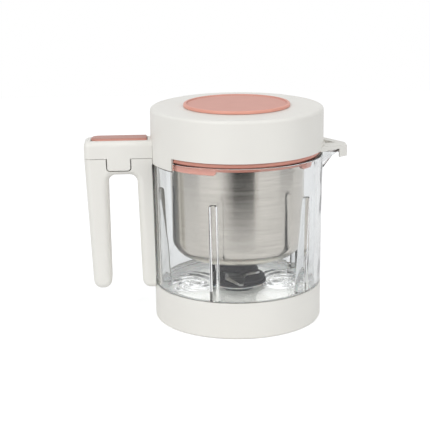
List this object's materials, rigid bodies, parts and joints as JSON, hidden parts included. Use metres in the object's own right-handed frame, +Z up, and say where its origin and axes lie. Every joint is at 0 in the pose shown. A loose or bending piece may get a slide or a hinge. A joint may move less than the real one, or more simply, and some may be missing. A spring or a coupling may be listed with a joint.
{
  "type": "baby food maker jug",
  "caption": "Glass steam-and-blend jug of a baby food maker: latching lid with filler cap, lift-out steel steamer basket, spinning blade, open-ended handle and a bayonet collar for a motor base",
  "frame": {"origin": "on the bowl's axis, in the plane the collar stands on", "axes": "+Z up along the bowl's axis, +X towards the pouring spout, -X towards the handle"},
  "size_m": [0.2066, 0.136, 0.1724],
  "materials": {
    "clear_glass": "clear pressed glass",
    "white_plastic": "warm white, satin moulded",
    "pink_soft": "soft-touch salmon pink",
    "pink_plastic": "salmon pink, satin moulded",
    "brushed_steel": "drawn stainless steel, brushed round",
    "bright_steel": "ground stainless steel",
    "black_plastic": "black, filled nylon",
    "seal_silicone": "translucent grey silicone",
    "bronze": "sintered bronze"
  },
  "bodies": {
    "jug": {"glass_bowl": "clear_glass", "base_collar": "white_plastic", "base_gasket": "seal_silicone", "blade_carrier": "black_plastic", "carrier_gasket": "seal_silicone", "carrier_nut": "black_plastic", "upper_bush": "bronze", "lower_bush": "bronze", "shaft_seal": "seal_silicone", "handle_shell": "white_plastic", "handle_pad": "seal_silicone", "catch_plate": "bright_steel", "catch_screws": "bright_steel"},
    "rotor": {"blade_shaft": "bright_steel", "hub_skirt": "black_plastic", "lower_blade": "bright_steel", "upper_blade": "bright_steel", "hub_cap": "black_plastic", "thrust_washer": "bronze", "drive_coupling": "black_plastic"},
    "basket": {"steel_basket": "brushed_steel", "basket_ring": "pink_plastic"},
    "lid": {"lid_shell": "white_plastic", "lid_liner": "white_plastic", "lid_seal": "seal_silicone", "liner_screws": "bright_steel", "arm_cover": "white_plastic", "latch_clip": "bright_steel", "clip_rivets": "bright_steel", "latch_springs": "bright_steel"},
    "cap": {"cap_disc": "pink_soft", "cap_plug": "white_plastic", "cap_seal": "seal_silicone"},
    "button": {"latch_button": "pink_soft", "button_plunger": "white_plastic"}
  },
  "joints": [
    {"name": "blade_spin", "type": "hinge", "parent": "jug", "child": "rotor", "pos_m": [0, 0, 0.03], "axis": [0, 0, 1], "continuous": true},
    {"name": "basket_lift", "type": "slide", "parent": "jug", "child": "basket", "axis": [0, 0, 1], "range_m": [0, 0.095]},
    {"name": "lid_lift", "type": "slide", "parent": "basket", "child": "lid", "axis": [0, 0, 1], "range_m": [0, 0.06], "deforming": ["latch_clip"]},
    {"name": "cap_lift", "type": "slide", "parent": "lid", "child": "cap", "axis": [0, 0, 1], "range_m": [0, 0.04]},
    {"name": "latch_press", "type": "slide", "parent": "lid", "child": "button", "axis": [0, 0, -1], "range_m": [0, 0.0025], "stiffness_N_per_m": 1000, "springref_m": -0.002, "deforming": ["latch_springs"]}
  ]
}
